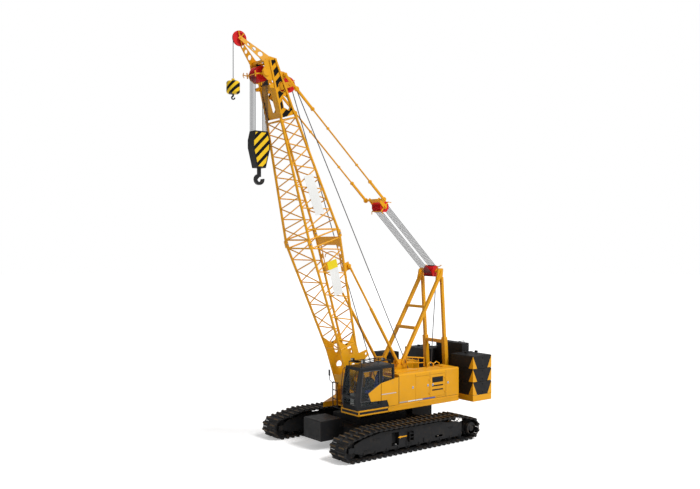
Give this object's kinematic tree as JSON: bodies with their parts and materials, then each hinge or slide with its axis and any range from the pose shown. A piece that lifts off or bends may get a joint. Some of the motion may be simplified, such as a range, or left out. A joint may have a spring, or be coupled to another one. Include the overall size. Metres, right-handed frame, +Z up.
{
  "type": "crawler crane",
  "caption": "Crawler crane with a lattice boom, jib-tip sheave, A-frame and stays, backstops, slewing house with cab, slab counterweight and two hook lines.",
  "frame": {"origin": "ground level under the middle of the overall box", "axes": "+X ahead, towards the boom tip; +Y to the cab's side (left); +Z up"},
  "size_m": [11.5838, 5.64, 15.7865],
  "materials": {
    "yellow": "satin",
    "black": "satin",
    "track_steel": "matte",
    "red": "gloss",
    "rope": "satin",
    "glass": "gloss",
    "seat_cloth": "matte",
    "cab_trim": "matte",
    "cab_paint": "satin",
    "hook_steel": "satin"
  },
  "bodies": {
    "base": {"carbody": "black", "slew_ring": "track_steel", "base_weights": "black", "track_left": "track_steel", "track_right": "track_steel", "track_frame_left": "black", "track_frame_right": "black", "end_wheels_left": "black", "end_wheels_right": "black"},
    "upper": {"deck_frame": "yellow", "backstop_seats": "black", "engine": "cab_trim", "exhaust_box": "black", "winches": "black", "cab_shell": "cab_paint", "cab_glass": "glass", "cab_seat": "seat_cloth", "cab_fittings": "cab_trim", "cab_roof_guard": "black", "counterweight_tray": "yellow", "counterweight_sides": "black", "counterweight_centre": "black", "a_frame_front": "yellow", "a_frame_rear": "yellow", "apex_sheaves": "red", "house_left": "yellow", "house_right": "yellow"},
    "cab_door": {"cab_door": "cab_paint", "cab_door_glass": "glass"},
    "door_left_rear": {"house_door_left_rear": "yellow"},
    "door_left_front": {"house_door_left_front": "yellow"},
    "door_right": {"house_door_right": "yellow"},
    "boom": {"boom_base": "yellow", "boom_top": "yellow", "boom_head": "yellow", "head_sheaves": "red"},
    "stay_ropes": {"luff_falls_upper": "rope"},
    "stays": {"luff_falls_lower": "rope", "bridle": "yellow", "pendants": "yellow"},
    "backstop_tubes": {"backstop_tubes": "yellow"},
    "backstop_rods": {"backstop_rods": "yellow"},
    "main_tackle": {"main_falls": "rope", "main_block": "yellow"},
    "main_hook": {"main_hook": "hook_steel"},
    "aux_line": {"aux_fall": "rope", "aux_ball": "yellow"},
    "aux_hook": {"aux_hook": "hook_steel"}
  },
  "joints": [
    {"name": "slew", "type": "hinge", "parent": "base", "child": "upper", "pos_m": [-0.83185, 0, 1.34], "axis": [0, 0, 1], "continuous": true},
    {"name": "boom_luff", "type": "hinge", "parent": "upper", "child": "boom", "pos_m": [0.03815, 0, 2], "axis": [0, 1, 0], "range_deg": [-7.8, 42.2]},
    {"name": "stay_swing", "type": "hinge", "parent": "upper", "child": "stay_ropes", "pos_m": [-4.29185, 0, 6.79], "axis": [0, 1, 0], "range_deg": [-6.66, 36.01]},
    {"name": "stay_reach", "type": "slide", "parent": "stay_ropes", "child": "stays", "axis": [0.7283, 0, 0.6852], "range_m": [-0.82462, 4.457]},
    {"name": "backstop_swing", "type": "hinge", "parent": "upper", "child": "backstop_tubes", "pos_m": [-1.75185, 0, 3.1], "axis": [0, 1, 0], "range_deg": [-6.86, 37.06]},
    {"name": "backstop_reach", "type": "slide", "parent": "backstop_tubes", "child": "backstop_rods", "axis": [0.5293, 0, 0.8484], "range_m": [-0.26578, 1.43355]},
    {"name": "main_tackle_hang", "type": "hinge", "parent": "boom", "child": "main_tackle", "pos_m": [4.45593, 0, 14.28773], "axis": [0, 1, 0], "range_deg": [-42.21, 7.81]},
    {"name": "main_hook_swivel", "type": "hinge", "parent": "main_tackle", "child": "main_hook", "pos_m": [4.45593, 0, 10.81], "axis": [0, 0, 1], "continuous": true},
    {"name": "aux_line_hang", "type": "hinge", "parent": "boom", "child": "aux_line", "pos_m": [5.28685, 0, 15.50184], "axis": [0, 1, 0], "range_deg": [-42.21, 7.81]},
    {"name": "aux_hook_swivel", "type": "hinge", "parent": "aux_line", "child": "aux_hook", "pos_m": [5.54685, 0, 13.45], "axis": [0, 0, 1], "continuous": true},
    {"name": "cab_door_swing", "type": "hinge", "parent": "upper", "child": "cab_door", "pos_m": [-0.02685, 1.7123, 2.3], "axis": [0, 0, 1], "range_deg": [0, 95]},
    {"name": "door_left_rear_swing", "type": "hinge", "parent": "upper", "child": "door_left_rear", "pos_m": [-3.47685, 1.7123, 2.18], "axis": [0, 0, 1], "range_deg": [0, 100]},
    {"name": "door_left_front_swing", "type": "hinge", "parent": "upper", "child": "door_left_front", "pos_m": [-2.58685, 1.7123, 2.18], "axis": [0, 0, 1], "range_deg": [0, 100]},
    {"name": "door_right_swing", "type": "hinge", "parent": "upper", "child": "door_right", "pos_m": [-3.47685, -1.7123, 2.18], "axis": [0, 0, -1], "range_deg": [0, 100]}
  ],
  "couplings": [
    {"joint": "stay_swing", "follows": "boom_luff", "ratio": 0.853},
    {"joint": "stay_reach", "follows": "boom_luff", "m_per_rad": 6.05},
    {"joint": "backstop_swing", "follows": "boom_luff", "ratio": 0.878},
    {"joint": "backstop_reach", "follows": "boom_luff", "m_per_rad": 1.945},
    {"joint": "main_tackle_hang", "follows": "boom_luff", "ratio": -1},
    {"joint": "aux_line_hang", "follows": "boom_luff", "ratio": -1}
  ]
}
